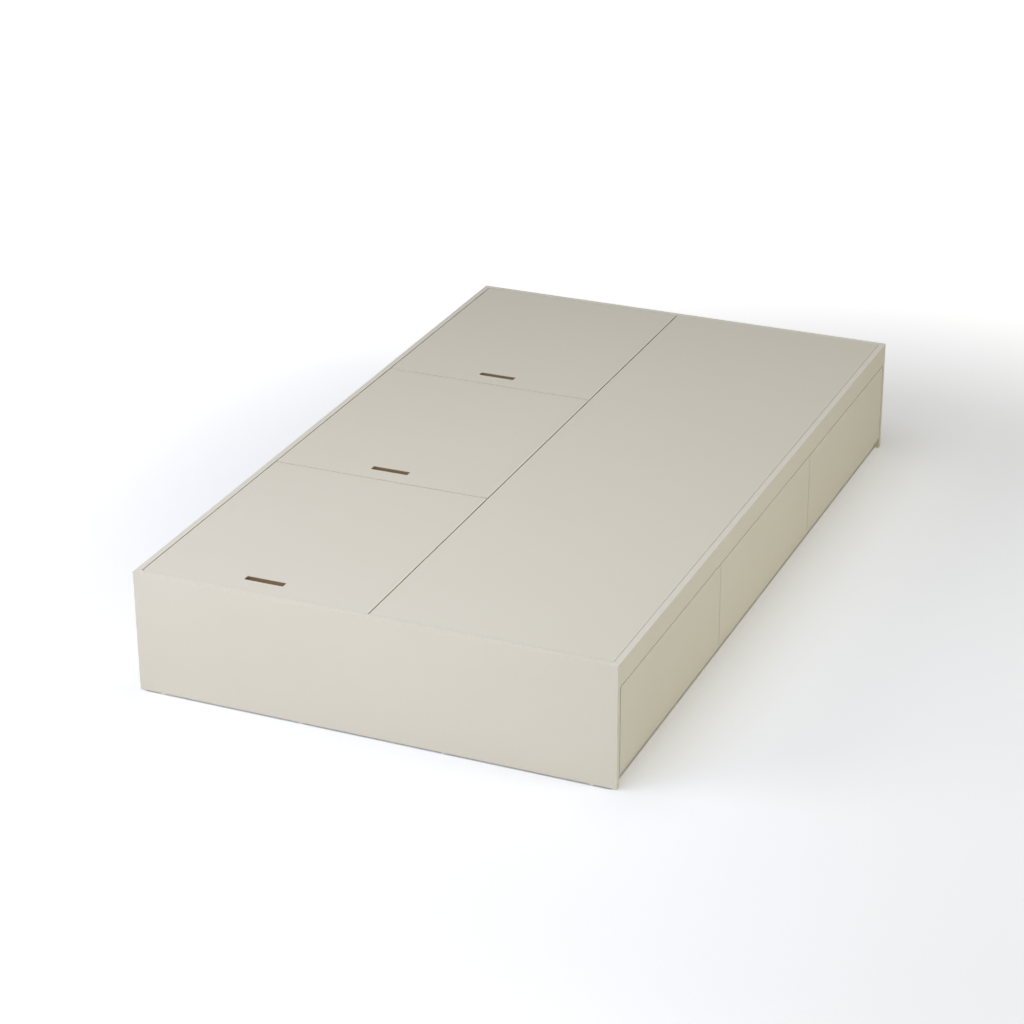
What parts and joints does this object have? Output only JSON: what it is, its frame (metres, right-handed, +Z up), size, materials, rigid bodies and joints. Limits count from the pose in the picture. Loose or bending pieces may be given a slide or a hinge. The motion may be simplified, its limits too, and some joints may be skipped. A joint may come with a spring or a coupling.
{
  "type": "storage platform bed",
  "caption": "Low tatami-style platform bed with a flush deck, lift-up storage lids with recessed finger pulls along one side and flush drawers under the other.",
  "frame": {"origin": "centre of the bed's footprint, on the floor", "axes": "+Z up, +Y along the bed from the foot end to the head end, +X across it to the side with the drawers"},
  "size_m": [1.2, 2.03, 0.31],
  "materials": {
    "panel_laminate": "cream laminate, matt",
    "inner_laminate": "beige laminate, matt",
    "plywood": "lightly sanded",
    "pine": "planed",
    "beech": "turned, fluted",
    "pull_bronze": "dark bronze, satin",
    "steel": "zinc plated",
    "zinc": "bright zinc",
    "bumper_rubber": "matt",
    "glide_nylon": "moulded"
  },
  "bodies": {
    "frame": {"foot_panel": "panel_laminate", "head_panel": "panel_laminate", "left_side_panel": "panel_laminate", "centre_divider": "inner_laminate", "top_side_rail": "panel_laminate", "plinth_rail": "panel_laminate", "fixed_deck_panel": "panel_laminate", "drawer_partition_foot": "inner_laminate", "drawer_partition_head": "inner_laminate", "storage_partition_foot": "inner_laminate", "storage_partition_head": "inner_laminate", "storage_floor_foot": "plywood", "storage_floor_middle": "plywood", "storage_floor_head": "plywood", "lid_ledges": "pine", "deck_cleats": "pine", "floor_cleats": "pine", "lid_bumpers": "bumper_rubber", "hinge_frame_leaves": "steel", "hinge_pins": "steel", "floor_glides": "glide_nylon", "cam_locks": "zinc", "cam_bolts": "steel", "dowels": "beech", "frame_screws": "zinc", "runner_outer_members": "steel"},
    "lid_foot": {"lid_foot_board": "panel_laminate", "lid_foot_pull": "pull_bronze", "lid_foot_leaves": "steel", "lid_foot_screws": "zinc"},
    "lid_middle": {"lid_middle_board": "panel_laminate", "lid_middle_pull": "pull_bronze", "lid_middle_leaves": "steel", "lid_middle_screws": "zinc"},
    "lid_head": {"lid_head_board": "panel_laminate", "lid_head_pull": "pull_bronze", "lid_head_leaves": "steel", "lid_head_screws": "zinc"},
    "drawer_foot": {"drawer_foot_front": "panel_laminate", "drawer_foot_sides": "inner_laminate", "drawer_foot_ends": "inner_laminate", "drawer_foot_bottom": "plywood", "drawer_foot_inner_members": "steel", "drawer_foot_screws": "zinc"},
    "runner_foot": {"runner_foot_intermediates": "steel"},
    "drawer_middle": {"drawer_middle_front": "panel_laminate", "drawer_middle_sides": "inner_laminate", "drawer_middle_ends": "inner_laminate", "drawer_middle_bottom": "plywood", "drawer_middle_inner_members": "steel", "drawer_middle_screws": "zinc"},
    "runner_middle": {"runner_middle_intermediates": "steel"},
    "drawer_head": {"drawer_head_front": "panel_laminate", "drawer_head_sides": "inner_laminate", "drawer_head_ends": "inner_laminate", "drawer_head_bottom": "plywood", "drawer_head_inner_members": "steel", "drawer_head_screws": "zinc"},
    "runner_head": {"runner_head_intermediates": "steel"}
  },
  "joints": [
    {"name": "lid_foot_hinge", "type": "hinge", "parent": "frame", "child": "lid_foot", "pos_m": [-0.294, -0.34042, 0.305], "axis": [-1, 0, 0], "range_deg": [0, 108]},
    {"name": "lid_middle_hinge", "type": "hinge", "parent": "frame", "child": "lid_middle", "pos_m": [-0.294, 0.32625, 0.305], "axis": [-1, 0, 0], "range_deg": [0, 108]},
    {"name": "lid_head_hinge", "type": "hinge", "parent": "frame", "child": "lid_head", "pos_m": [-0.294, 0.99292, 0.305], "axis": [-1, 0, 0], "range_deg": [0, 108]},
    {"name": "drawer_foot_slide", "type": "slide", "parent": "frame", "child": "drawer_foot", "axis": [1, 0, 0], "range_m": [0, 0.44]},
    {"name": "runner_foot_slide", "type": "slide", "parent": "frame", "child": "runner_foot", "axis": [1, 0, 0], "range_m": [0, 0.22]},
    {"name": "drawer_middle_slide", "type": "slide", "parent": "frame", "child": "drawer_middle", "axis": [1, 0, 0], "range_m": [0, 0.44]},
    {"name": "runner_middle_slide", "type": "slide", "parent": "frame", "child": "runner_middle", "axis": [1, 0, 0], "range_m": [0, 0.22]},
    {"name": "drawer_head_slide", "type": "slide", "parent": "frame", "child": "drawer_head", "axis": [1, 0, 0], "range_m": [0, 0.44]},
    {"name": "runner_head_slide", "type": "slide", "parent": "frame", "child": "runner_head", "axis": [1, 0, 0], "range_m": [0, 0.22]}
  ],
  "couplings": [
    {"joint": "runner_foot_slide", "follows": "drawer_foot_slide", "ratio": 0.5},
    {"joint": "runner_middle_slide", "follows": "drawer_middle_slide", "ratio": 0.5},
    {"joint": "runner_head_slide", "follows": "drawer_head_slide", "ratio": 0.5}
  ]
}
